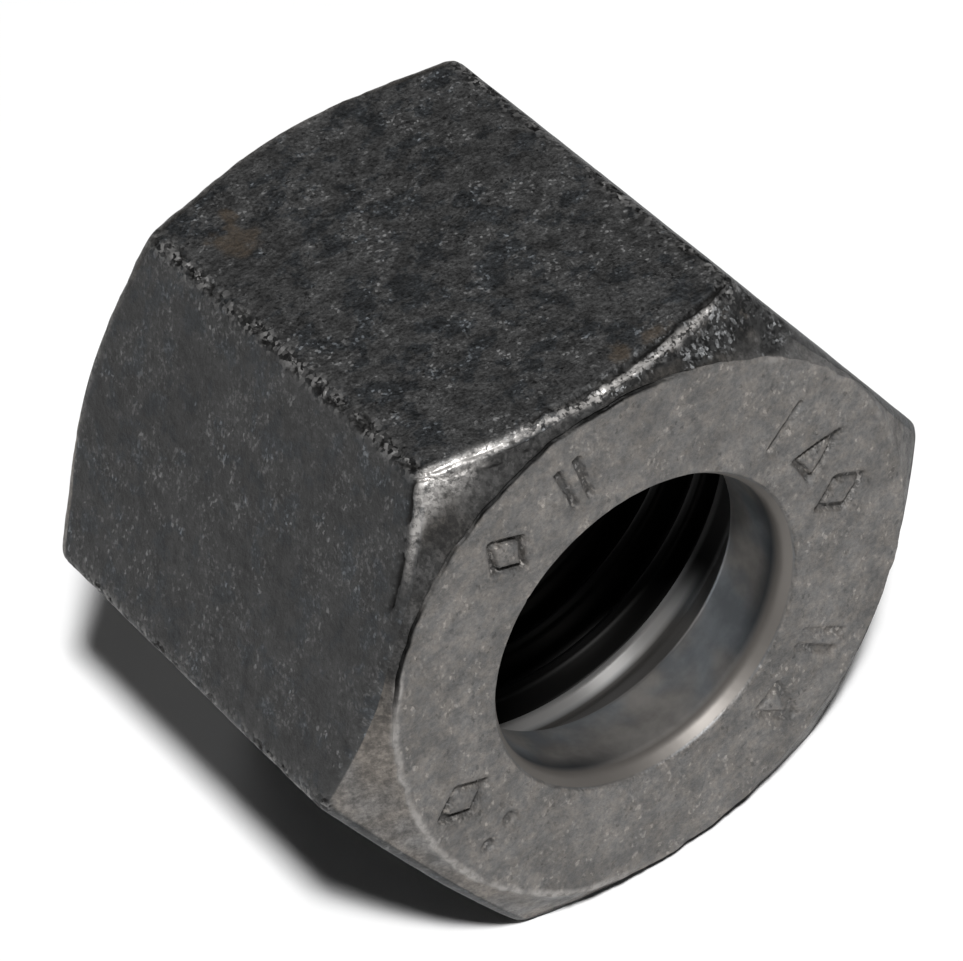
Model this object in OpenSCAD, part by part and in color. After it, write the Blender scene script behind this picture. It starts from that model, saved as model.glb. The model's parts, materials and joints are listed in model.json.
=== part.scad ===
// Union nut for a 24-degree compression fitting, light series, 10 mm tube.
// One forged and machined piece of steel. The thread axis is Y: the marked tube-side face lies
// in the plane y = 0 and the thread opens at y = nut_length. The nut lies on one of its flats,
// with +Z up and two corners of the hexagon on the X axis.

/* [Hexagon] */
// Distance across the flats, the spanner size
across_flats = 19; // [19:0.5:22]
// Length along the thread axis
nut_length = 16; // [15:0.5:18]
// How far the rounding takes each corner back from a sharp hexagon
corner_trim = 0.07; // [0.05:0.01:0.3]

/* [End faces] */
// Diameter of the flat ring around the tube bore
tube_face_d = 17.8; // [16:0.1:18.5]
// Diameter of the flat ring around the thread
thread_face_d = 19; // [17:0.1:19]
// Slope of the chamfers, measured from the end faces
chamfer_angle = 30; // [20:1:40]

/* [Tube bore] */
// Diameter of the smooth bore that the tube passes through
tube_bore_d = 10.2; // [10.1:0.1:11]
// Width of the small chamfer around the mouth of the tube bore
mouth_chamfer = 0.3; // [0.1:0.05:0.5]

/* [Thread] */
// Major diameter of the internal metric thread
thread_d = 16; // [15:0.5:16]
// Pitch of the thread
thread_pitch = 1.5; // [1:0.25:1.5]
// Depth of the thread, from its open end to the foot of the ring cone
thread_depth = 11; // [9:0.5:11.5]
// Slope of the cone that presses on the cutting ring, measured from the thread axis
cone_angle = 45; // [40:1:50]
// How far the lead-in chamfer opens past the major diameter, on the radius
lead_in_margin = 0.15; // [0.05:0.05:0.3]

/* [Hidden] */
$fn = 96;

// How far a cutting profile runs past the face that it cuts
overrun = 1;
// Share of the pitch by which an internal metric thread's minor diameter is below its major one
thread_height_share = 1.0825;

corner_r = across_flats / 2 / cos(30) - corner_trim;
tube_face_r = tube_face_d / 2;
thread_face_r = thread_face_d / 2;
tube_bore_r = tube_bore_d / 2;
thread_minor_r = (thread_d - thread_height_share * thread_pitch) / 2;
lead_in_r = thread_d / 2 + lead_in_margin;
lead_in_depth = lead_in_r - thread_minor_r;
cone_foot = nut_length - thread_depth;
cone_start = cone_foot - (thread_minor_r - tube_bore_r) / tan(cone_angle);

// Height at which a chamfer that starts at the radius face_r reaches the corners
function chamfer_rise(face_r) = (corner_r - face_r) * tan(chamfer_angle);

// Turns a shape of revolution or a prism from the Z axis onto the thread axis
module along_thread_axis() {
    rotate([-90, 0, 0]) children();
}

module hexagon_bar() {
    cylinder(h = nut_length, r = across_flats / 2 / cos(30), $fn = 6);
}

// Outer limit: rounded corners, and a chamfer that runs out on the flats at each end
module turned_outside() {
    rotate_extrude() polygon([
        [0, 0],
        [tube_face_r, 0],
        [corner_r, chamfer_rise(tube_face_r)],
        [corner_r, nut_length - chamfer_rise(thread_face_r)],
        [thread_face_r, nut_length],
        [0, nut_length]
    ]);
}

// Everything that is bored out: mouth chamfer, tube bore, ring cone, thread and lead-in
module turned_inside() {
    rotate_extrude() polygon([
        [0, -overrun],
        [tube_bore_r + mouth_chamfer + overrun, -overrun],
        [tube_bore_r, mouth_chamfer],
        [tube_bore_r, cone_start],
        [thread_minor_r, cone_foot],
        [thread_minor_r, nut_length - lead_in_depth],
        [lead_in_r + overrun, nut_length + overrun],
        [0, nut_length + overrun]
    ]);
}

module union_nut() {
    color("dimgray") along_thread_axis() difference() {
        intersection() {
            hexagon_bar();
            turned_outside();
        }
        turned_inside();
    }
}

union_nut();
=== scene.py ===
"""The looks of the union nut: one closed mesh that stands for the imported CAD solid, with its thread,
stamped marks, rounded edges and worn forging skin, and the floor, lights and camera.

Lengths are in millimetres until the mesh, lights and camera are made, which is in metres.
The nut's axis is Y, the marked face is at y = 0, and Z is up. Angles are about the nut's axis,
in degrees from +X towards +Z.
"""
import itertools
import json
import math

import bpy
import numpy as np
from mathutils import Matrix, Vector


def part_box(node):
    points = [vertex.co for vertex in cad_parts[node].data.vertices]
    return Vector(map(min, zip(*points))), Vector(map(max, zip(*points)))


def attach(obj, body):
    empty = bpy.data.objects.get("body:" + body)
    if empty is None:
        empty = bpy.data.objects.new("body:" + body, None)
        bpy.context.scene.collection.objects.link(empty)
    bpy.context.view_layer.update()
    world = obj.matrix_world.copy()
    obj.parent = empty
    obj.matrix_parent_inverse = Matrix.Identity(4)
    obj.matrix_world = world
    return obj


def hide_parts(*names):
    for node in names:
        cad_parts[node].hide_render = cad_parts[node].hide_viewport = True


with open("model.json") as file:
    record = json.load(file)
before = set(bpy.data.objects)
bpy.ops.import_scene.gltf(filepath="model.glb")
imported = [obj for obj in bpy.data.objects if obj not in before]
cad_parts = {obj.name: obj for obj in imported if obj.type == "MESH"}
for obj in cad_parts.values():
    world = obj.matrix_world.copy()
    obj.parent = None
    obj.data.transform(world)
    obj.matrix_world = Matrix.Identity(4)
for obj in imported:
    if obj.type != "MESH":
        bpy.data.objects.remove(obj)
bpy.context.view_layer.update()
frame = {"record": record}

MM = 0.001

# ---------------------------------------------------------------- sizes from the frame

LOWEST, HIGHEST = (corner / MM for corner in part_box("union_nut"))
MOUNTS = {mount["name"]: mount for mount in frame["record"]["mounts"]}
HALF_FLATS = HIGHEST.z
LENGTH = HIGHEST.y
CORNER_R = HIGHEST.x
BORE_R = MOUNTS["tube_bore"]["dims"]["r_mm"]
MINOR_R = MOUNTS["thread"]["dims"]["r_mm"]
CONE_FOOT = MOUNTS["thread"]["pos_m"][1] / MM - MOUNTS["thread"]["dims"]["length_mm"] / 2
CONE_START = CONE_FOOT - (MINOR_R - BORE_R)

# ---------------------------------------------------------------- sizes of the detail

PITCH = 1.5
THREAD_HEIGHT = 0.5413 * PITCH
THREAD_PHASE = 0.45
THREAD_FOOT = CONE_FOOT + 1.0
RUN_OUT = 0.5
LEAD_IN_R = MINOR_R + THREAD_HEIGHT + 0.15
MOUTH_WIDTH = 0.3
MOUTH_DEPTH = 0.5
RING_R = 9.02
SEAM_WIDTH = 0.09
SEAM_DEPTH = 0.15
FACE_SINK = 0.06
LIP_HEIGHT = 0.055
CHAMFER_R = 8.9
BACK_RING_R = 9.45
CHAMFER_SLOPE = math.tan(math.radians(30))
MARK_RADIUS = 7.2
MARK_DEPTH = 0.24
MARK_RIM = 0.06

# Where the wear, the painted highlights and the painted shade lie about the axis: from and to, in
# degrees, and for the painted shadows on the land also how soft their ends are. The upper flat is from 60 to
# 120.
SEAM_ARC = (76, 160)
CRACK_ARC = (60, 141)
LOW_CRACK_ARC = (103, 120)
TORN_ARC = (50, 92)
LINE_ARC = (64, 121)
WIDE_LINE_ARC = (96, 112)
CRUMB_ARC = (40, 108)
PATCH_ARC = (108, 133)
PATCH_MIDDLE = 119
LIP_ARC = (150, 262)
LOW_LIP_ARC = (2, 64)
PALE_ARC = (160, 255)
HALF_PALE_ARC = (-70, 54)
LAND_SHADE_ARCS = ((-50, 35, 40), (198, 250, 30))
PAINTED_LIT_WALL_ARC = (238, 306)

# ---------------------------------------------------------------- noise


def scrambled(cells, seed):
    """A number from 0 to 1 for each row of whole numbers, the same on every run."""
    mixed = np.full(len(cells), np.uint64(seed * 2654435761 % 2**32))
    for column, factor in zip(cells.T, (73856093, 19349663, 83492791)):
        mixed = (mixed ^ (column.astype(np.uint64) * np.uint64(factor))) & np.uint64(0xFFFFFFFF)
        mixed = (mixed * np.uint64(0x9E3779B1)) & np.uint64(0xFFFFFFFF)
        mixed ^= mixed >> np.uint64(15)
    return mixed.astype(float) / 2**32


def noise(points, cell, seed):
    """Smooth noise from -1 to 1 with features of the size of a cell."""
    place = points / cell + 500.0
    base = np.floor(place).astype(np.int64)
    part = place - base
    part = part * part * (3 - 2 * part)
    total = np.zeros(len(points))
    for step in itertools.product((0, 1), repeat=3):
        weight = np.prod(np.where(step, part, 1 - part), axis=1)
        total += weight * scrambled(base + step, seed)
    return 2 * total - 1


def rough_noise(points, cell, seed, octaves=3):
    """Noise with finer and weaker layers added, still about -1 to 1."""
    layers = [noise(points, cell / 2**i, seed + i) / 2**i for i in range(octaves)]
    return sum(layers) / 1.4


def pits(points, cell, share, radius, seed):
    """Round pits from 0 to 1 deep: one in a share of the cells, of up to the given radius."""
    place = points / cell + 500.0
    base = np.floor(place).astype(np.int64)
    depth = np.zeros(len(points))
    for step in itertools.product((-1, 0, 1), repeat=3):
        cells = base + step
        centre = cells + np.stack([scrambled(cells, seed + i) for i in range(3)], axis=1)
        size = radius * (0.4 + 0.6 * scrambled(cells, seed + 3))
        present = scrambled(cells, seed + 4) < share
        away = np.linalg.norm((place - centre) * cell, axis=1) / size
        depth = np.maximum(depth, np.where(present, np.clip(1 - away**2, 0, 1) ** 2, 0))
    return depth


def step_up(low, high, value):
    """A soft step from 0 below low to 1 above high."""
    t = np.clip((value - low) / (high - low), 0, 1)
    return t * t * (3 - 2 * t)


def arc(angles, low, high, soft):
    """1 between two angles in degrees, and 0 outside them, with soft ends."""
    away = np.abs((np.degrees(angles) - (low + high) / 2 + 180) % 360 - 180)
    return 1 - step_up((high - low - soft) / 2, (high - low + soft) / 2, away)


def around(points):
    """The angle of each point about the thread axis, from 0 to a full turn."""
    return np.arctan2(points[:, 2], points[:, 0]) % (2 * math.pi)


# ---------------------------------------------------------------- the half section of the nut

SECTOR = math.pi / 3
CORNER_ROUND = (CORNER_R - HALF_FLATS / math.cos(SECTOR / 2)) / (1 - 1 / math.cos(SECTOR / 2))


def column_angles():
    """Angles about the thread axis for the mesh's columns, closer together at the six corners."""
    fine = math.radians(0.2)
    reach = 8 * fine
    before = np.arange(0, 8) * fine
    across = np.linspace(reach, SECTOR - reach, 120, endpoint=False)
    after = SECTOR - np.arange(8, 0, -1) * fine
    sector = np.concatenate([before, across, after])
    return np.append(np.concatenate([sector + k * SECTOR for k in range(6)]), 2 * math.pi)


def from_corner(angles):
    """Angle to the nearest corner of the hexagon."""
    return np.abs((angles + SECTOR / 2) % SECTOR - SECTOR / 2)


def hexagon_radius(angles):
    """Distance from the axis to the rounded hexagon at each angle."""
    off_corner = from_corner(angles)
    off_flat = SECTOR / 2 - off_corner
    centre = (HALF_FLATS - CORNER_ROUND) / math.cos(SECTOR / 2)
    tangent = math.atan(centre * math.sin(SECTOR / 2) / HALF_FLATS)
    on_flat = HALF_FLATS / np.cos(off_flat)
    under_root = np.clip(CORNER_ROUND**2 - (centre * np.sin(off_corner)) ** 2, 0, None)
    on_corner = centre * np.cos(off_corner) + np.sqrt(under_root)
    return np.where(off_flat < tangent, on_flat, on_corner)


def ring_radius(angles):
    """Outer edge of the marked face: the die left an uneven line that isn't quite a circle."""
    circle = np.stack([9 * np.cos(angles), np.zeros_like(angles), 9 * np.sin(angles)], axis=1)
    drift = 0.17 * np.cos(angles - math.radians(25)) + 0.19 * np.cos(3 * angles - math.radians(30))
    wander = 0.07 * noise(circle, 1.9, 11) + 0.05 * noise(circle, 0.6, 12) + 0.03 * noise(circle, 0.24, 13)
    return np.clip(RING_R + drift + wander, 8.6, HALF_FLATS - 0.1 - SEAM_WIDTH)


def seam_share(angles):
    """How open the crevice around the marked face is, from 0 to 1. The rest of the way round, the
    face has a raised lip in its place."""
    circle = np.stack([9 * np.cos(angles), np.zeros_like(angles), 9 * np.sin(angles)], axis=1)
    return arc(angles, *SEAM_ARC, 14) * (0.3 + 0.7 * step_up(-0.8, 0.1, noise(circle, 1.3, 14)))


def thread_radius(angles, heights):
    """Wall of the right-hand thread, with a run-out at its foot and a lead-in at its mouth."""
    turn = (heights / PITCH + angles / (2 * math.pi) + THREAD_PHASE) % 1
    from_root = np.abs(turn - 0.5)
    form = np.clip((0.375 - from_root) / 0.3125, 0, 1)
    limit = np.clip((heights - THREAD_FOOT) / RUN_OUT, 0, 1)
    wall = MINOR_R + THREAD_HEIGHT * np.minimum(form, limit)
    return np.maximum(wall, LEAD_IN_R - (LENGTH - heights))


def thread_rows(angles):
    """Rows of the thread from its mouth down to the plain wall. They climb with the helix, and
    strips of rows above and below them take up the one pitch that a turn shifts them by."""
    per_pitch = 16
    spacing = PITCH / per_pitch
    rows_up = int((LENGTH - 0.06 - THREAD_FOOT) / spacing)
    core = rows_up - per_pitch
    climb = (1 - angles / (2 * math.pi)) * PITCH
    heights = [THREAD_FOOT + climb * i / per_pitch for i in range(per_pitch)]
    heights += [THREAD_FOOT + climb + i * spacing for i in range(core + 1)]
    top = THREAD_FOOT + climb + core * spacing
    heights += [top + (PITCH - climb) * i / per_pitch for i in range(1, per_pitch + 1)]
    return [np.stack([thread_radius(angles, h), h], axis=1) for h in heights[::-1]]


def rounded(before, corner, after, radius):
    """Rows around a corner, and the two points where its curve meets the straight stretches."""
    steps = 3 + round(20 * radius)
    to_before, to_after = before - corner, after - corner
    length_before = np.linalg.norm(to_before, axis=1, keepdims=True)
    length_after = np.linalg.norm(to_after, axis=1, keepdims=True)
    reach = np.minimum(radius, 0.4 * np.minimum(length_before, length_after))
    start = corner + to_before / length_before * reach
    end = corner + to_after / length_after * reach
    shares = np.linspace(0, 1, steps, endpoint=False) if radius else [0]
    rows = [(1 - k) ** 2 * start + 2 * k * (1 - k) * corner + k**2 * end for k in shares]
    return rows, start, end


def section_rows(angles):
    """Rows all the way round the nut's half section, each an (angle, 2) array of radius and y,
    and the name of the zone that each row lies in."""
    hexagon = hexagon_radius(angles)
    ring = ring_radius(angles)
    chamfer_y = FACE_SINK + (hexagon - CHAMFER_R) * CHAMFER_SLOPE
    back_y = LENGTH - (hexagon - BACK_RING_R) * CHAMFER_SLOPE
    # zone after the corner, radius and y of the corner, how much it is rounded, rows to the next
    corners = [
        ("mouth", BORE_R, MOUTH_DEPTH, 0.15, 3),
        ("ring", BORE_R + MOUTH_WIDTH, FACE_SINK, 0.06, 66),
        ("seam", ring, FACE_SINK, 0.02, 2),
        ("seam", ring + 0.45 * SEAM_WIDTH, FACE_SINK + SEAM_DEPTH * seam_share(angles), 0.02, 2),
        ("chamfer", ring + SEAM_WIDTH, FACE_SINK, 0.05, 18),
        ("flat", hexagon, chamfer_y, 0.3, 220),
        ("back_chamfer", hexagon, back_y, 0.3, 8),
        ("back_ring", BACK_RING_R, LENGTH, 0.1, 10),
        ("thread", LEAD_IN_R, LENGTH, 0.03, 0),
        ("plain", MINOR_R, THREAD_FOOT, 0, 3),
        ("cone", MINOR_R, CONE_FOOT, 0.2, 9),
        ("land", BORE_R, CONE_START, 0.1, 8),
    ]
    points = [np.stack(np.broadcast_arrays(r + 0 * angles, y), axis=1) for _, r, y, _, _ in corners]
    curves = [
        rounded(points[i - 1], points[i], points[(i + 1) % len(points)], corner[3])
        for i, corner in enumerate(corners)
    ]
    rows, zones = [], []
    for i, (zone, _, _, _, steps) in enumerate(corners):
        curve, _, end = curves[i]
        next_start = curves[(i + 1) % len(curves)][1]
        if zone == "thread":
            stretch = [end] + thread_rows(angles)[:-1]
        else:
            stretch = [end + (next_start - end) * k / steps for k in range(steps)]
        rows += curve + stretch
        zones += [zone] * len(curve + stretch)
    return rows, zones


# ---------------------------------------------------------------- generic stamped marks


def outline(*corners):
    """The strokes of a closed shape."""
    return list(zip(corners, corners[1:] + corners[:1]))


DIAMOND = outline((0, 0.85), (0.6, 0), (0, -0.85), (-0.6, 0))
TRIANGLE = outline((-0.6, -0.7), (0.6, -0.7), (0, 0.8))
BARS = [((u, -0.75), (u, 0.75)) for u in (-0.3, 0.3)]
BAR = [((0, -0.8), (0, 0.8))]
DOTS = [((0, v), (0, v)) for v in (-0.5, 0.5)]
# angle, strokes, depth as a share of the full depth, half width of the groove
MARKS = [
    (123, DIAMOND, 1.1, 0.13),
    (101, BARS, 1.2, 0.15),
    (38, BAR, 1.0, 0.15),
    (22, TRIANGLE, 0.9, 0.15),
    (6, DIAMOND, 0.9, 0.15),
    (322, BARS, 0.6, 0.18),
    (303, TRIANGLE, 0.7, 0.18),
    (195, DIAMOND, 0.9, 0.14),
    (213, DOTS, 0.9, 0.3),
]


def stroke_distance(u, v, strokes):
    """Distance from each point to the nearest of the strokes."""
    nearest = np.full(len(u), np.inf)
    for (u0, v0), (u1, v1) in strokes:
        run, rise = u1 - u0, v1 - v0
        along = ((u - u0) * run + (v - v0) * rise) / max(run**2 + rise**2, 1e-9)
        along = np.clip(along, 0, 1)
        nearest = np.minimum(nearest, np.hypot(u - u0 - along * run, v - v0 - along * rise))
    return nearest


def stamped(points):
    """How deep the marks are pressed in at each point, below 0 where they raised a rim, and
    how far each point is inside a groove, from 0 to 1."""
    angles = np.arctan2(points[:, 2], points[:, 0])
    radii = np.hypot(points[:, 0], points[:, 2])
    sink = np.zeros(len(points))
    groove = np.zeros(len(points))
    for degrees, strokes, force, half_width in MARKS:
        turned = (angles - math.radians(degrees) + math.pi) % (2 * math.pi) - math.pi
        away = stroke_distance(MARK_RADIUS * turned, radii - MARK_RADIUS, strokes)
        away = away + 0.02 * noise(points, 0.25, 21)
        pressed = 1 - step_up(0.45 * half_width, 1.1 * half_width, away)
        rim = np.exp(-(((away - half_width - 0.24) / 0.12) ** 2))
        strength = force * (0.85 + 0.3 * noise(points, 1.2, 22))
        sink += strength * (MARK_DEPTH * pressed - MARK_RIM * rim)
        groove = np.maximum(groove, strength * pressed)
    return sink, groove


# ---------------------------------------------------------------- the mesh


def welded(points, columns, rows):
    """The grid's points without repeats, the first grid point of each, and the closed faces."""
    keys = np.round(points * 1e5).astype(np.int64)
    _, first, which = np.unique(keys, axis=0, return_index=True, return_inverse=True)
    which = which.reshape(columns, rows)
    ahead = np.roll(which, -1, axis=1)
    quads = np.stack([which[:-1], ahead[:-1], ahead[1:], which[1:]], axis=-1).reshape(-1, 4)
    loops = (list(dict.fromkeys(quad)) for quad in quads.tolist())
    return points[first], first, [loop for loop in loops if len(loop) > 2]


def corner_wear(points, reach):
    """From 1 on the hexagon's corner edges down to 0 away from them."""
    return np.exp(-((CORNER_R * from_corner(around(points)) / reach) ** 2))


def edge_distance(points):
    """Distance along the surface from the front edge of the flats: above 0 on the flats, below 0 on
    the chamfer."""
    edge = FACE_SINK + (hexagon_radius(around(points)) - CHAMFER_R) * CHAMFER_SLOPE
    past = points[:, 1] - edge
    return np.where(past > 0, past, 2 * past)


def back_edge_wear(points, reach):
    """From 1 on the edge between the flats and the back chamfer down to 0 away from it."""
    edge = LENGTH - (hexagon_radius(around(points)) - BACK_RING_R) * CHAMFER_SLOPE
    return np.exp(-(((points[:, 1] - edge) / reach) ** 2))


def nicks(points):
    """Jagged dents along the corner edges, from 0 to 1, and the chipped strips that they lie in."""
    ragged = rough_noise(points * (1, 0.8, 1), 0.19, 61, 2)
    patches = 0.45 + 0.55 * step_up(-0.6, 0.1, noise(points, 1.4, 64))
    on_flats = step_up(-0.4, -0.1, edge_distance(points)) * (points[:, 1] < LENGTH - 0.8)
    near = corner_wear(points, 0.27) * patches * on_flats
    return step_up(0.25, 0.6, near * step_up(-0.1, 0.5, ragged)), near


def edge_cracks(points):
    """Broken cracks beside the front edge of the flats, from 0 to 1: cut into the metal and also painted
    dark as shade.
    """
    angles, away = around(points), edge_distance(points)
    beside = 0.25 - 0.85 * arc(angles, *LOW_CRACK_ARC, 4) + 0.08 * noise(points, 0.5, 66)
    line = np.exp(-(((away - beside) / 0.09) ** 2)) * arc(angles, *CRACK_ARC, 4)
    return step_up(0.2, 0.45, line * step_up(-0.4, 0.1, rough_noise(points, 0.4, 67, 2)))


def torn(points):
    """Where the flash was torn off at the front of a corner, from 0 to 1."""
    away = edge_distance(points)
    band = np.exp(-((away / np.where(away > 0, 0.35, 1.5)) ** 2))
    band = band * arc(around(points), *TORN_ARC, 20) * step_up(-0.8, 0.2, noise(points, 0.9, 68))
    return step_up(0.08, 0.4, band)


def rubbed_line_and_highlight(points):
    """The narrow line along the front edge of the upper flat, rubbed and also painted bright as a
    highlight, from 0 to 1, in two parts: the whole one at its left end, and the one broken up at its right."""
    angles, away = around(points), edge_distance(points)
    width = 0.14 + 0.04 * arc(angles, *WIDE_LINE_ARC, 12) + 0.06 * noise(points, 0.4, 69)
    line = np.exp(-(((away + 0.02) / width) ** 2)) * arc(angles, *LINE_ARC, 4)
    broken = arc(angles, *CRUMB_ARC, 16)
    return line * (1 - broken), line * broken


def rubbed_patch_and_highlight(points):
    """The patch on the chamfer at the end of that line, rubbed and also painted bright as a highlight, from
    0 to 1.
    """
    angles, away = around(points), edge_distance(points)
    reach = 0.14 + 0.9 * np.exp(-(((np.degrees(angles) - PATCH_MIDDLE) / 5) ** 2))
    on_chamfer = np.exp(-((np.minimum(away + 0.1, 0) / reach) ** 2))
    on_flats = np.exp(-((np.maximum(away, 0) / 0.12) ** 2))
    return on_chamfer * on_flats * arc(angles, *PATCH_ARC, 14)


def lip(points):
    """The raised lip along the outer edge of the marked face, from 0 to 1."""
    angles = around(points)
    away = np.hypot(points[:, 0], points[:, 2]) - ring_radius(angles)
    strength = 0.2 + 0.8 * arc(angles, *LIP_ARC, 24) + 0.4 * arc(angles, *LOW_LIP_ARC, 20)
    bumpy = 0.65 + 0.35 * rough_noise(points, 0.4, 77, 2)
    return np.exp(-(((away + 0.03) / 0.19) ** 2)) * strength * bumpy


def worn_depth(points, zone):
    """How far wear, forging scale and tool marks take each point into the metal."""
    skin = 0.012 + 0.012 * rough_noise(points, 2.6, 31)
    skin += grain(points) * (0.014 + 0.014 * rough_noise(points, 0.45, 34, 2))
    skin += grain(points) * 0.035 * pits(points, 0.5, 0.35, 0.15, 41)
    lumps = 0.025 + 0.025 * rough_noise(points, 0.5, 51)
    face = 0.01 + 0.01 * rough_noise(points, 0.6, 71) + 0.02 * pits(points, 0.7, 0.2, 0.16, 74)
    ragged = 0.07 + 0.07 * rough_noise(points, 0.3, 55, 2)
    dents, chipped = nicks(points)
    rubbed = sum(rubbed_line_and_highlight(points)) + rubbed_patch_and_highlight(points)
    depth = zone("chamfer", "flat", "back_chamfer", "back_ring") * skin
    depth += zone("chamfer", "back_chamfer", "seam") * lumps
    depth += zone("flat", "chamfer") * (0.08 * dents + 0.09 * edge_cracks(points) + 0.02 * chipped)
    depth += zone("flat", "chamfer") * rubbed * (0.035 + 0.035 * rough_noise(points, 0.28, 57, 2))
    depth += zone("flat", "chamfer") * ragged * torn(points)
    depth += zone("ring", "seam") * face
    depth -= zone("ring", "seam", "chamfer") * LIP_HEIGHT * lip(points)
    depth += zone("mouth") * (0.006 + 0.006 * rough_noise(points, 0.6, 81))
    return depth


# How coarse the forging skin is on each flat, starting with the one between 0 and 60 degrees
FLAT_GRAIN = (0.7, 1.0, 0.25, 0.5, 0.8, 0.4)


def grain(points):
    """How coarse the skin is at each point, changing softly from flat to flat."""
    turn = (np.arctan2(points[:, 2], points[:, 0]) % (2 * math.pi)) / SECTOR
    flat = np.floor(turn).astype(int) % 6
    levels = np.array(FLAT_GRAIN)
    into_next = step_up(0.97, 1.03, turn - flat)
    from_last = 1 - step_up(-0.03, 0.03, turn - flat)
    level = levels[flat] + into_next * (levels[(flat + 1) % 6] - levels[flat])
    return level + from_last * (levels[flat - 1] - levels[flat])


# x, y and radius of the light rust on the upper flat
RUST_SPOTS = [(-3.8, 13.0, 0.6), (-3.35, 14.05, 0.25), (2.6, 0.9, 0.5), (1.4, 1.2, 0.35)]


def rust(points):
    """Thin spots of rust on the upper flat, from 0 to 1."""
    amount = np.zeros(len(points))
    for x, y, radius in RUST_SPOTS:
        away = np.hypot(points[:, 0] - x, (points[:, 1] - y) * 0.8) / radius
        uneven = away + 0.8 * rough_noise(points, 0.3, 91)
        amount = np.maximum(amount, 1 - step_up(0.6, 1.3, uneven))
    return amount * (points[:, 2] > 0)


def surface_notes(points, zone, groove):
    """What the material reads at each point, by name: the zones, and how much of each kind of wear,
    painted highlight and painted shade there is, mostly from 0 to 1."""
    outside = zone("flat", "chamfer", "back_chamfer")
    angles = around(points)
    dents, chipped = nicks(points)
    # Painted shade: the dents and cracks along the edges are darkened as if in shade
    crevice_shade = np.maximum(0.85 * dents, edge_cracks(points)) * outside
    line, crumbs_and_highlight = rubbed_line_and_highlight(points)
    patch = np.maximum(0.8 * rubbed_patch_and_highlight(points), 0.3 * back_edge_wear(points, 0.2))
    # Painted shadow: dark crescents on the land near the mouth
    land_shaded = sum(arc(angles, *ends) for ends in LAND_SHADE_ARCS) * (1 - step_up(0.8, 1.7, points[:, 1]))
    # Painted light: the band of plain wall and cone where light falls
    painted_lit_wall = zone("plain", "cone") * arc(angles, *PAINTED_LIT_WALL_ARC, 26)
    return {
        "ring": zone("ring", "seam", "back_ring"),
        "chamfer": zone("chamfer", "back_chamfer"),
        "pale": np.maximum(arc(angles, *PALE_ARC, 30), 0.6 * arc(angles, *HALF_PALE_ARC, 24)),
        "turned": zone("mouth", "thread", "plain", "cone", "land"),
        "mouth": zone("mouth"),
        "plain": zone("plain") * painted_lit_wall,
        "cone": zone("cone") * painted_lit_wall,
        # Painted shade on the thread, and on the plain wall and cone outside the lit band
        "thread": zone("thread", "plain", "cone") - painted_lit_wall,
        "outer": step_up(8.5, LENGTH, points[:, 1]),
        "land_shade": zone("land", "mouth") * land_shaded,
        "grain": grain(points),
        "chipped": chipped * outside,
        # Painted shade also fills the crevice round the marked face
        "crevice_shade": np.maximum(crevice_shade, zone("seam") * seam_share(angles)),
        "torn": torn(points) * outside,
        # The rubbed front edge, also painted bright as a highlight, whole and broken up
        "rim": line * outside,
        "crumbs_and_highlight": crumbs_and_highlight * outside,
        # Rubbed patch and worn back edges; the patch is also painted bright as a highlight
        "burnish_and_highlight": patch * outside,
        "lip": lip(points) * zone("ring", "seam", "chamfer"),
        "groove": groove * zone("ring"),
        "rust": rust(points) * zone("flat"),
    }


def build_nut():
    """The nut: its half section swept round, worn and stamped, with the material's notes stored."""
    angles = column_angles()
    rows, zones = section_rows(angles)
    grid = np.stack(rows, axis=1)
    radii, heights = grid[..., 0], grid[..., 1]
    turned = angles[:, None]
    points = np.stack([radii * np.cos(turned), heights, radii * np.sin(turned)], axis=-1)
    points, first, faces = welded(points.reshape(-1, 3), len(angles), len(rows))
    names = np.array(zones)[first % len(rows)]

    def zone(*wanted):
        return np.isin(names, wanted).astype(float)

    mesh = bpy.data.meshes.new("nut_body")
    mesh.from_pydata(points.tolist(), [], faces)
    mesh.update()
    normals = np.zeros(len(points) * 3)
    mesh.vertices.foreach_get("normal", normals)
    sink, groove = stamped(points)
    depth = worn_depth(points, zone)
    points = points - normals.reshape(-1, 3) * depth[:, None]
    points[:, 1] = np.clip(points[:, 1] + sink * zone("ring"), 0, LENGTH)
    mesh.vertices.foreach_set("co", (points * MM).ravel())
    mesh.update()
    mesh.shade_smooth()

    for name, values in surface_notes(points, zone, groove).items():
        kept = mesh.attributes.new(name, "FLOAT", "POINT")
        kept.data.foreach_set("value", values.astype(np.float32))
    nut = bpy.data.objects.new("nut_body", mesh)
    bpy.context.scene.collection.objects.link(nut)
    return nut


# ---------------------------------------------------------------- materials

# How light each surface is, from 0 to 1, or its darkest and lightest where two numbers are given
SKIN = 0.036
SCUFF = 0.07
# Painted glints: bright specks on the smooth and the coarse skin
SMOOTH_PAINTED_GLINT = 0.11
COARSE_PAINTED_GLINT = 0.17
CHAMFER = (0.037, 0.145)
# Painted shade in the hollows, and painted glints on the chips, where the flash was torn off
TORN_HOLLOW_SHADE = (0.001, 0.03)
TORN_CHIP_GLINT = (0.12, 0.4)
# Chipped edge metal in a random tone per chip: the darkest are painted shade in pits, the lightest painted
# glints on burrs
EDGE_CHIP_SHADE_AND_GLINT = (0.006, 0.22)
FACE = 0.133
# Painted glints on the struck face and in the bottoms of its stamped grooves
FACE_PAINTED_GLINT = 0.13
GROOVE_PAINTED_GLINT = 0.2
# Worn metal on the lip of the struck face, also painted bright as a highlight
LIP_HIGHLIGHT_METAL = 0.33
# Painted shade, nearly black, in the crevice round the marked face and in the dents and cracks along the
# edges
CREVICE_SHADE = 0.003
LAND = (0.3, 0.46)
# Painted light on the cone in the lit band
PAINTED_LIT_CONE = 0.12
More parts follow.
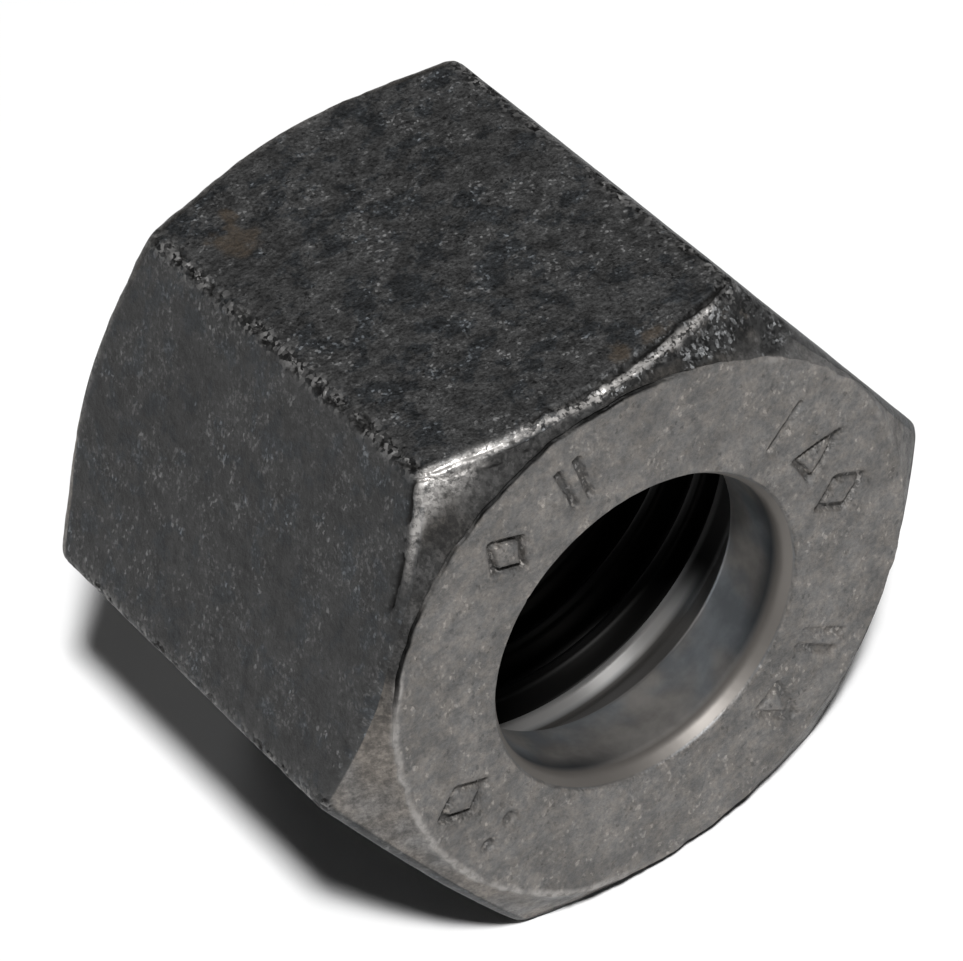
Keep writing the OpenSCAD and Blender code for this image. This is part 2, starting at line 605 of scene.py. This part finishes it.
# Painted shade in the thread, darkest deep inside and lighter towards its back mouth
THREAD_SHADE = (0.006, 0.2)
# Painted highlight on the lit band of plain wall
PAINTED_LIT_WALL = 0.65
# Painted shadow on the land near the mouth
LAND_SHADE = 0.075
MOUTH = 0.16
# Bare steel where the front edge is rubbed, also painted bright as the highlight along that edge
BARE_STEEL_HIGHLIGHT = 0.5
FLOOR = 0.97
RUST = (0.085, 0.066, 0.048, 1)

BUMP_DEPTH = 0.13
LEAN = (0.5, 0.6, 0.3)


class Shader:
    """A new material, with short forms for the nodes that it is made of."""

    def __init__(self, name):
        self.material = bpy.data.materials.new(name)
        self.material.use_nodes = True
        self.tree = self.material.node_tree
        self.surface = self.tree.nodes["Principled BSDF"]
        self.place = None

    def put(self, target, value):
        """Links a socket to the target, or sets the target to a plain value."""
        if isinstance(value, bpy.types.NodeSocket):
            self.tree.links.new(value, target)
        else:
            target.default_value = value

    def node(self, kind, values, **settings):
        """A new node with its inputs filled by name or by number."""
        made = self.tree.nodes.new(kind)
        for name, value in settings.items():
            setattr(made, name, value)
        for key, value in values.items():
            self.put(made.inputs[key], value)
        return made

    def millimetres(self):
        """Where a point is in the nut's own frame, in millimetres."""
        if self.place is None:
            place = self.node("ShaderNodeTexCoord", {}).outputs["Object"]
            scaled = self.node("ShaderNodeVectorMath", {0: place, "Scale": 1 / MM}, operation="SCALE")
            self.place = scaled.outputs["Vector"]
        return self.place

    def stored(self, name):
        """A number that the mesh holds at each vertex."""
        return self.node("ShaderNodeAttribute", {}, attribute_name=name).outputs["Fac"]

    def noise(self, size, detail=3.0, roughness=0.55, place=None):
        """Noise from 0 to 1 with features of that size in millimetres."""
        place = place or self.millimetres()
        values = {"Vector": place, "Scale": 1 / size, "Detail": detail, "Roughness": roughness}
        return self.node("ShaderNodeTexNoise", values).outputs["Fac"]

    def chips(self, size, stretch=(1, 1, 1)):
        """A number from 0 to 1 for each of the sharp-edged chips that cover the surface."""
        place = self.millimetres()
        shift = self.node("ShaderNodeTexNoise", {"Vector": place, "Scale": 1 / size}).outputs["Color"]
        uneven = self.node("ShaderNodeVectorMath", {0: shift, 1: (size,) * 3}, operation="MULTIPLY")
        moved = self.node("ShaderNodeVectorMath", {0: place, 1: uneven.outputs[0]}).outputs[0]
        turned = self.node("ShaderNodeMapping", {0: moved, "Rotation": LEAN, "Scale": stretch}).outputs[0]
        cells = self.node("ShaderNodeTexVoronoi", {"Vector": turned, "Scale": 1 / size}).outputs["Color"]
        return self.node("ShaderNodeSeparateColor", {0: cells}).outputs[0]

    def ramp(self, value, low, high, start=0.0, end=1.0):
        """start below low, end above high and a soft step between them."""
        values = {"Value": value, "From Min": low, "From Max": high, "To Min": start, "To Max": end}
        made = self.node("ShaderNodeMapRange", values, interpolation_type="SMOOTHSTEP")
        return made.outputs["Result"]

    def math(self, operation, a, b, c=0.0):
        return self.node("ShaderNodeMath", {0: a, 1: b, 2: c}, operation=operation).outputs[0]

    def times(self, a, b):
        return self.math("MULTIPLY", a, b)

    def plus(self, a, b):
        return self.math("ADD", a, b)

    def greater(self, a, b):
        return self.math("MAXIMUM", a, b)

    def between(self, share, a, b):
        """Number a, turning to b as share goes from 0 to 1."""
        return self.node("ShaderNodeMix", {0: share, 2: a, 3: b}).outputs[0]

    def mix(self, share, a, b):
        """Colour a, turning to b as share goes from 0 to 1."""
        return self.node("ShaderNodeMix", {0: share, 6: a, 7: b}, data_type="RGBA").outputs[2]

    def tone(self, level, warmth):
        """A nearly grey colour: warmth above 0 turns it to brown, and below 0 to blue."""
        more = self.math("MULTIPLY_ADD", level, warmth, level)
        less = self.math("MULTIPLY_ADD", level, self.times(warmth, -1), level)
        return self.node("ShaderNodeCombineColor", {0: more, 1: level, 2: less}).outputs[0]

    def scuffs(self):
        """Pale streaks that lean one way, in patches, from 0 to 1."""
        turned = self.node("ShaderNodeMapping", {0: self.millimetres(), "Rotation": LEAN})
        stretched = self.node("ShaderNodeMapping", {0: turned.outputs[0], "Scale": (7, 7, 1.6)})
        streaks = self.ramp(self.noise(1, 4, 0.65, stretched.outputs[0]), 0.52, 0.66)
        return self.times(streaks, self.ramp(self.noise(1.6, 3), 0.45, 0.6))


class ForgedSteel(Shader):
    """Dull dark forging skin, a paler struck face, turned metal inside, and worn edges, with painted
    highlights, glints and shade.
    """

    def __init__(self):
        super().__init__("forged_steel")
        self.broad = self.noise(3.4, 3, 0.55)
        self.mottle = self.noise(0.55, 6, 0.75)
        self.fine = self.noise(0.12, 4, 0.8)
        self.grit = self.chips(0.1, (1.2, 1.2, 0.7))
        self.shards = self.chips(0.13)
        # Painted glints: bright specks in clusters, standing for sparkle
        clusters = self.ramp(self.noise(1.1, 5, 0.75), 0.46, 0.62)
        self.glints = self.times(self.ramp(self.grit, 0.82, 1.0), clusters)
        pitted = self.ramp(self.noise(0.8, 4, 0.7), 0.45, 0.6)
        # Painted shade: dark specks where small pits would hold shade
        self.pit_shade = self.times(self.ramp(self.grit, 0.0, 0.14, 1, 0), pitted)
        self.coarse = self.stored("grain")
        self.turned = self.stored("turned")
        self.torn_off = self.stored("torn")
        scattered = self.ramp(self.noise(0.5, 3), 0.36, 0.5, 0.2, 1)
        self.rubble = self.times(self.stored("chipped"), scattered)
        self.bright = self.wear_and_highlight()
        relief = self.node("ShaderNodeBump", {"Height": self.relief(), "Distance": BUMP_DEPTH * MM})
        self.put(self.surface.inputs["Base Color"], self.colour())
        self.put(self.surface.inputs["Metallic"], self.metallic())
        self.put(self.surface.inputs["Roughness"], self.roughness())
        self.put(self.surface.inputs["Normal"], relief.outputs["Normal"])

    def colour(self):
        colour = self.mix(self.stored("chamfer"), self.skin(), self.chamfers())
        colour = self.torn_corner(colour)
        # Chipped edges: painted shade in pits and painted glints on burrs, a random tone per chip
        colour = self.mix(self.rubble, colour, self.tone(self.ramp(self.shards, 0.2, 1, *EDGE_CHIP_SHADE_AND_GLINT), 0.02))
        colour = self.struck_face(colour)
        # Painted shade, nearly black, in the crevice, the dents and the cracks
        colour = self.mix(self.stored("crevice_shade"), colour, self.tone(CREVICE_SHADE, 0.1))
        colour = self.mix(self.turned, colour, self.turned_metal())
        # Rubbed edge and patch, also painted bright as a highlight
        return self.mix(self.bright, colour, self.tone(BARE_STEEL_HIGHLIGHT, 0.04))

    def skin(self):
        """The flats: darker and bluer blotches, painted shade in small pits, painted glints, scuffs and a
        little rust.
        """
        blotch = self.ramp(self.noise(0.9, 5, 0.65), 0.5, 0.6)
        smooth = self.times(
            self.ramp(self.mottle, 0.35, 0.65, 0.75, 1.05),
            self.ramp(self.fine, 0.3, 0.7, 0.8, 1.2),
        )
        rough = self.times(
            self.ramp(self.mottle, 0.36, 0.64, 0.6, 1.5),
            self.ramp(self.fine, 0.32, 0.68, 0.5, 1.7),
        )
        rough = self.times(rough, self.ramp(blotch, 0, 1, 1.15, 0.6))
        level = self.between(self.coarse, smooth, rough)
        level = self.times(level, self.ramp(self.broad, 0.3, 0.7, 0.88, 1.12))
        # Painted shade in the pits, stronger on the coarse skin
        pit_shade_here = self.times(self.pit_shade, self.ramp(self.coarse, 0, 1, 0.3, 1))
        level = self.times(level, self.ramp(pit_shade_here, 0, 1, 1, 0.2))
        # Painted glints on the skin, sparser on the smooth flats
        sparse = self.ramp(self.noise(2.2, 3), 0.42, 0.55, 0.1, 1)
        glint_level = self.between(self.coarse, self.times(sparse, SMOOTH_PAINTED_GLINT), COARSE_PAINTED_GLINT)
        level = self.math("MULTIPLY_ADD", level, SKIN, self.times(self.glints, glint_level))
        scuffed = self.times(self.scuffs(), self.ramp(self.coarse, 0, 1, 1, 0.35))
        level = self.math("MULTIPLY_ADD", scuffed, SCUFF, level)
        skin = self.tone(level, self.ramp(blotch, 0, 1, 0.0, -0.08))
        rusted = self.times(self.stored("rust"), self.ramp(self.fine, 0.35, 0.65, 0.4, 0.9))
        return self.mix(rusted, skin, RUST)

    def chamfers(self):
        """Rougher and browner than the flats, and paler on the underside."""
        pale = self.stored("pale")
        hard = self.times(self.ramp(self.mottle, 0.38, 0.62, 0.4, 1.5), self.ramp(self.grit, 0, 1, 0.6, 1.4))
        soft = self.times(
            self.ramp(self.mottle, 0.36, 0.64, 0.6, 1.4),
            self.ramp(self.fine, 0.32, 0.68, 0.65, 1.35),
        )
        level = self.times(self.between(pale, hard, soft), self.ramp(pale, 0, 1, *CHAMFER))
        return self.tone(level, self.ramp(self.broad, 0.4, 0.65, 0.02, 0.12))

    def torn_corner(self, colour):
        """Painted shade, nearly black, in the torn hollows, between sharp chips of broken metal that are
        painted bright as glints.
        """
        hollow_shade = self.times(self.torn_off, self.ramp(self.noise(0.5, 4, 0.7), 0.34, 0.44))
        colour = self.mix(hollow_shade, colour, self.tone(self.ramp(self.shards, 0, 1, *TORN_HOLLOW_SHADE), 0.0))
        chips = self.times(self.ramp(self.grit, 0.5, 1.0), self.ramp(self.noise(0.6, 3), 0.46, 0.58))
        chip_glint_tone = self.tone(self.ramp(self.fine, 0.35, 0.65, *TORN_CHIP_GLINT), -0.02)
        return self.mix(self.times(self.torn_off, chips), colour, chip_glint_tone)

    def struck_face(self, colour):
        """Pale and brownish, with painted shade in pits and stamped grooves, painted glints on the face and
        in the grooves, and a worn lip that is also painted bright as a highlight.
        """
        groove = self.stored("groove")
        cloudy = self.times(
            self.ramp(self.noise(1.7, 4, 0.6), 0.35, 0.65, 0.8, 1.2),
            self.ramp(self.mottle, 0.36, 0.64, 0.84, 1.16),
        )
        level = self.times(self.times(cloudy, self.ramp(self.fine, 0.32, 0.68, 0.72, 1.28)), FACE)
        # Painted shade in the pits of the struck face
        level = self.times(level, self.ramp(self.pit_shade, 0, 1, 1, 0.6))
        # Painted glints on the struck face
        level = self.plus(level, self.times(self.glints, FACE_PAINTED_GLINT))
        # Painted shade: the stamped grooves are darkened as if in shade
        level = self.times(level, self.ramp(groove, 0.2, 1, 1, 0.5))
        # Painted glints in the bottoms of the stamped grooves
        level = self.plus(level, self.times(self.times(groove, self.ramp(self.grit, 0.7, 1)), GROOVE_PAINTED_GLINT))
        face = self.tone(level, self.ramp(self.mottle, 0.35, 0.65, 0.02, 0.09))
        colour = self.mix(self.stored("ring"), colour, face)
        # The lip's worn metal is also painted pale as a highlight, strongest at the lower left
        bumpy = self.ramp(self.noise(0.35, 5, 0.75), 0.36, 0.56, 0.2, 0.9)
        lip_wear_and_highlight = self.times(self.ramp(self.stored("lip"), 0.2, 0.8), bumpy)
        return self.mix(lip_wear_and_highlight, colour, self.tone(LIP_HIGHLIGHT_METAL, 0.05))

    def turned_metal(self):
        """Beige at the mouth; past the cone, a band of the wall painted bright where light falls; painted
        shade on the rest of the wall and deep in the thread, lighter towards its back mouth; and a painted
        shadow on the land.
        """
        level = self.ramp(self.noise(1.2, 4), 0.3, 0.7, *LAND)
        metal = self.tone(level, self.ramp(self.noise(2.5, 2), 0.4, 0.6, -0.07, 0.05))
        # Painted light on the cone in the lit band
        metal = self.mix(self.stored("cone"), metal, self.tone(PAINTED_LIT_CONE, 0.05))
        # Painted shade in the thread, lighter towards its back mouth
        shaded_thread = self.tone(self.ramp(self.stored("outer"), 0, 1, *THREAD_SHADE), 0.04)
        metal = self.mix(self.stored("thread"), metal, shaded_thread)
        metal = self.mix(self.stored("plain"), metal, self.tone(PAINTED_LIT_WALL, 0.02))
        # Painted shadow on the land near the mouth
        metal = self.mix(self.times(self.stored("land_shade"), 0.9), metal, self.tone(LAND_SHADE, -0.12))
        return self.mix(self.stored("mouth"), metal, self.tone(MOUTH, 0.08))

    def wear_and_highlight(self):
        """How far the front edge is rubbed down to bare steel and also painted bright as a highlight, from 0
        to 1.
        """
        whole = self.times(self.stored("rim"), self.ramp(self.shards, 0.0, 0.5, 0.45, 1))
        crumb = self.ramp(self.between(0.5, self.shards, self.grit), 0.25, 0.7, 0.05, 1)
        line = self.plus(whole, self.times(self.stored("crumbs_and_highlight"), crumb))
        patchy = self.times(
            self.ramp(self.noise(0.3, 5, 0.8), 0.36, 0.56, 0.15, 1),
            self.ramp(self.shards, 0, 1, 0.5, 1.2),
        )
        return self.math("MINIMUM", self.plus(line, self.times(self.stored("burnish_and_highlight"), patchy)), 1)

    def metallic(self):
        rim = self.times(self.stored("rim"), 0.7)
        metallic = self.greater(self.ramp(self.turned, 0, 1, 0.35, 0.85), rim)
        return self.between(self.stored("mouth"), metallic, 0.6)

    def roughness(self):
        skin = self.ramp(self.fine, 0.3, 0.7, 0.46, 0.64)
        inside = self.between(self.stored("mouth"), 0.42, 0.5)
        inside = self.between(self.stored("plain"), inside, 0.33)
        inside = self.between(self.stored("thread"), inside, 0.48)
        return self.between(self.bright, self.between(self.turned, skin, inside), 0.34)

    def relief(self):
        """The fine relief's height: sharp-edged where metal broke off, and even on turned metal."""
        skin = self.plus(self.noise(0.4, 5, 0.68), self.times(self.grit, 0.35))
        relief = self.times(skin, self.between(self.coarse, 0.25, 1.0))
        relief = self.between(self.stored("chamfer"), relief, self.noise(0.36, 6, 0.8))
        face = self.plus(self.noise(0.5, 5, 0.68), self.times(self.grit, 0.08))
        relief = self.between(self.stored("ring"), relief, face)
        broken = self.greater(self.rubble, self.times(self.torn_off, 0.8))
        broken = self.greater(broken, self.plus(self.stored("crumbs_and_highlight"), self.stored("burnish_and_highlight")))
        relief = self.between(broken, relief, self.shards)
        even = self.greater(self.turned, self.times(self.stored("rim"), 0.4))
        return self.between(even, relief, 0.5)


def pale_floor():
    floor = Shader("pale_floor")
    floor.put(floor.surface.inputs["Base Color"], (FLOOR, FLOOR, FLOOR, 1))
    floor.put(floor.surface.inputs["Roughness"], 0.9)
    return floor.material


# ---------------------------------------------------------------- floor, lights and camera

# in metres and watts
FLOOR_HALF = 3.0
LIGHT_DISTANCE = 2.0
KEY_DIRECTION = Vector((-1.6, -5.3, 9.5))
KEY_SIZE = 0.19
KEY_POWER = 48
FILL_DIRECTION = Vector((0, 6.4, 7.7))
FILL_SIZE = 0.6
FILL_POWER = 1.8
WORLD_STRENGTH = 0.01

# in degrees and millimetres
CAMERA_AZIMUTH = -27.09
CAMERA_ELEVATION = 43.76
CAMERA_ROLL = -12.13
CAMERA_DISTANCE = 161.93
CAMERA_ASIDE = (0.251, 0.398)
FOCAL_LENGTH = 203.6
SENSOR_WIDTH = 36.0


def add_floor():
    """A plain square under the nut's lower flat."""
    signs = [(-1, -1), (1, -1), (1, 1), (-1, 1)]
    corners = [(x * FLOOR_HALF, y * FLOOR_HALF, LOWEST.z * MM) for x, y in signs]
    mesh = bpy.data.meshes.new("floor")
    mesh.from_pydata(corners, [], [range(4)])
    mesh.materials.append(pale_floor())
    floor = bpy.data.objects.new("floor", mesh)
    bpy.context.scene.collection.objects.link(floor)


def add_light(name, direction, size, power):
    """A square soft box at the lights' distance, turned to the nut."""
    light = bpy.data.lights.new(name, "AREA")
    light.size = size
    light.energy = power
    lamp = bpy.data.objects.new(name, light)
    lamp.location = direction.normalized() * LIGHT_DISTANCE
    lamp.rotation_euler = direction.to_track_quat("Z", "Y").to_euler()
    bpy.context.scene.collection.objects.link(lamp)


def add_world():
    """A faint even light from all round."""
    world = bpy.data.worlds.new("studio")
    world.use_nodes = True
    background = world.node_tree.nodes["Background"]
    background.inputs["Color"].default_value = (1, 1, 1, 1)
    background.inputs["Strength"].default_value = WORLD_STRENGTH
    bpy.context.scene.world = world


def add_camera():
    """Aims at the middle of the nut, set a little aside in the picture, with a slight roll."""
    azimuth = math.radians(CAMERA_AZIMUTH)
    elevation = math.radians(CAMERA_ELEVATION)
    roll = math.radians(CAMERA_ROLL)
    forward = Vector((
        -math.sin(azimuth) * math.cos(elevation),
        math.cos(azimuth) * math.cos(elevation),
        -math.sin(elevation),
    ))
    level_right = forward.cross(Vector((0, 0, 1))).normalized()
    level_up = level_right.cross(forward)
    right = level_right * math.cos(roll) + level_up * math.sin(roll)
    up = level_up * math.cos(roll) - level_right * math.sin(roll)
    target = Vector((0, LENGTH / 2, 0)) - right * CAMERA_ASIDE[0] + up * CAMERA_ASIDE[1]
    place = target - forward * CAMERA_DISTANCE
    camera = bpy.data.cameras.new("camera")
    camera.lens = FOCAL_LENGTH
    camera.sensor_width = SENSOR_WIDTH
    camera.clip_start = 0.01
    view = bpy.data.objects.new("camera", camera)
    turn = Matrix((right, up, -forward)).transposed().to_4x4()
    view.matrix_world = Matrix.Translation(place * MM) @ turn
    bpy.context.scene.collection.objects.link(view)
    bpy.context.scene.camera = view


nut_body = build_nut()
nut_body.data.materials.append(ForgedSteel().material)
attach(nut_body, "root")
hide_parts("union_nut")

add_floor()
add_world()
add_light("key", KEY_DIRECTION, KEY_SIZE, KEY_POWER)
add_light("fill", FILL_DIRECTION, FILL_SIZE, FILL_POWER)
add_camera()
bpy.context.scene.view_settings.view_transform = "Standard"
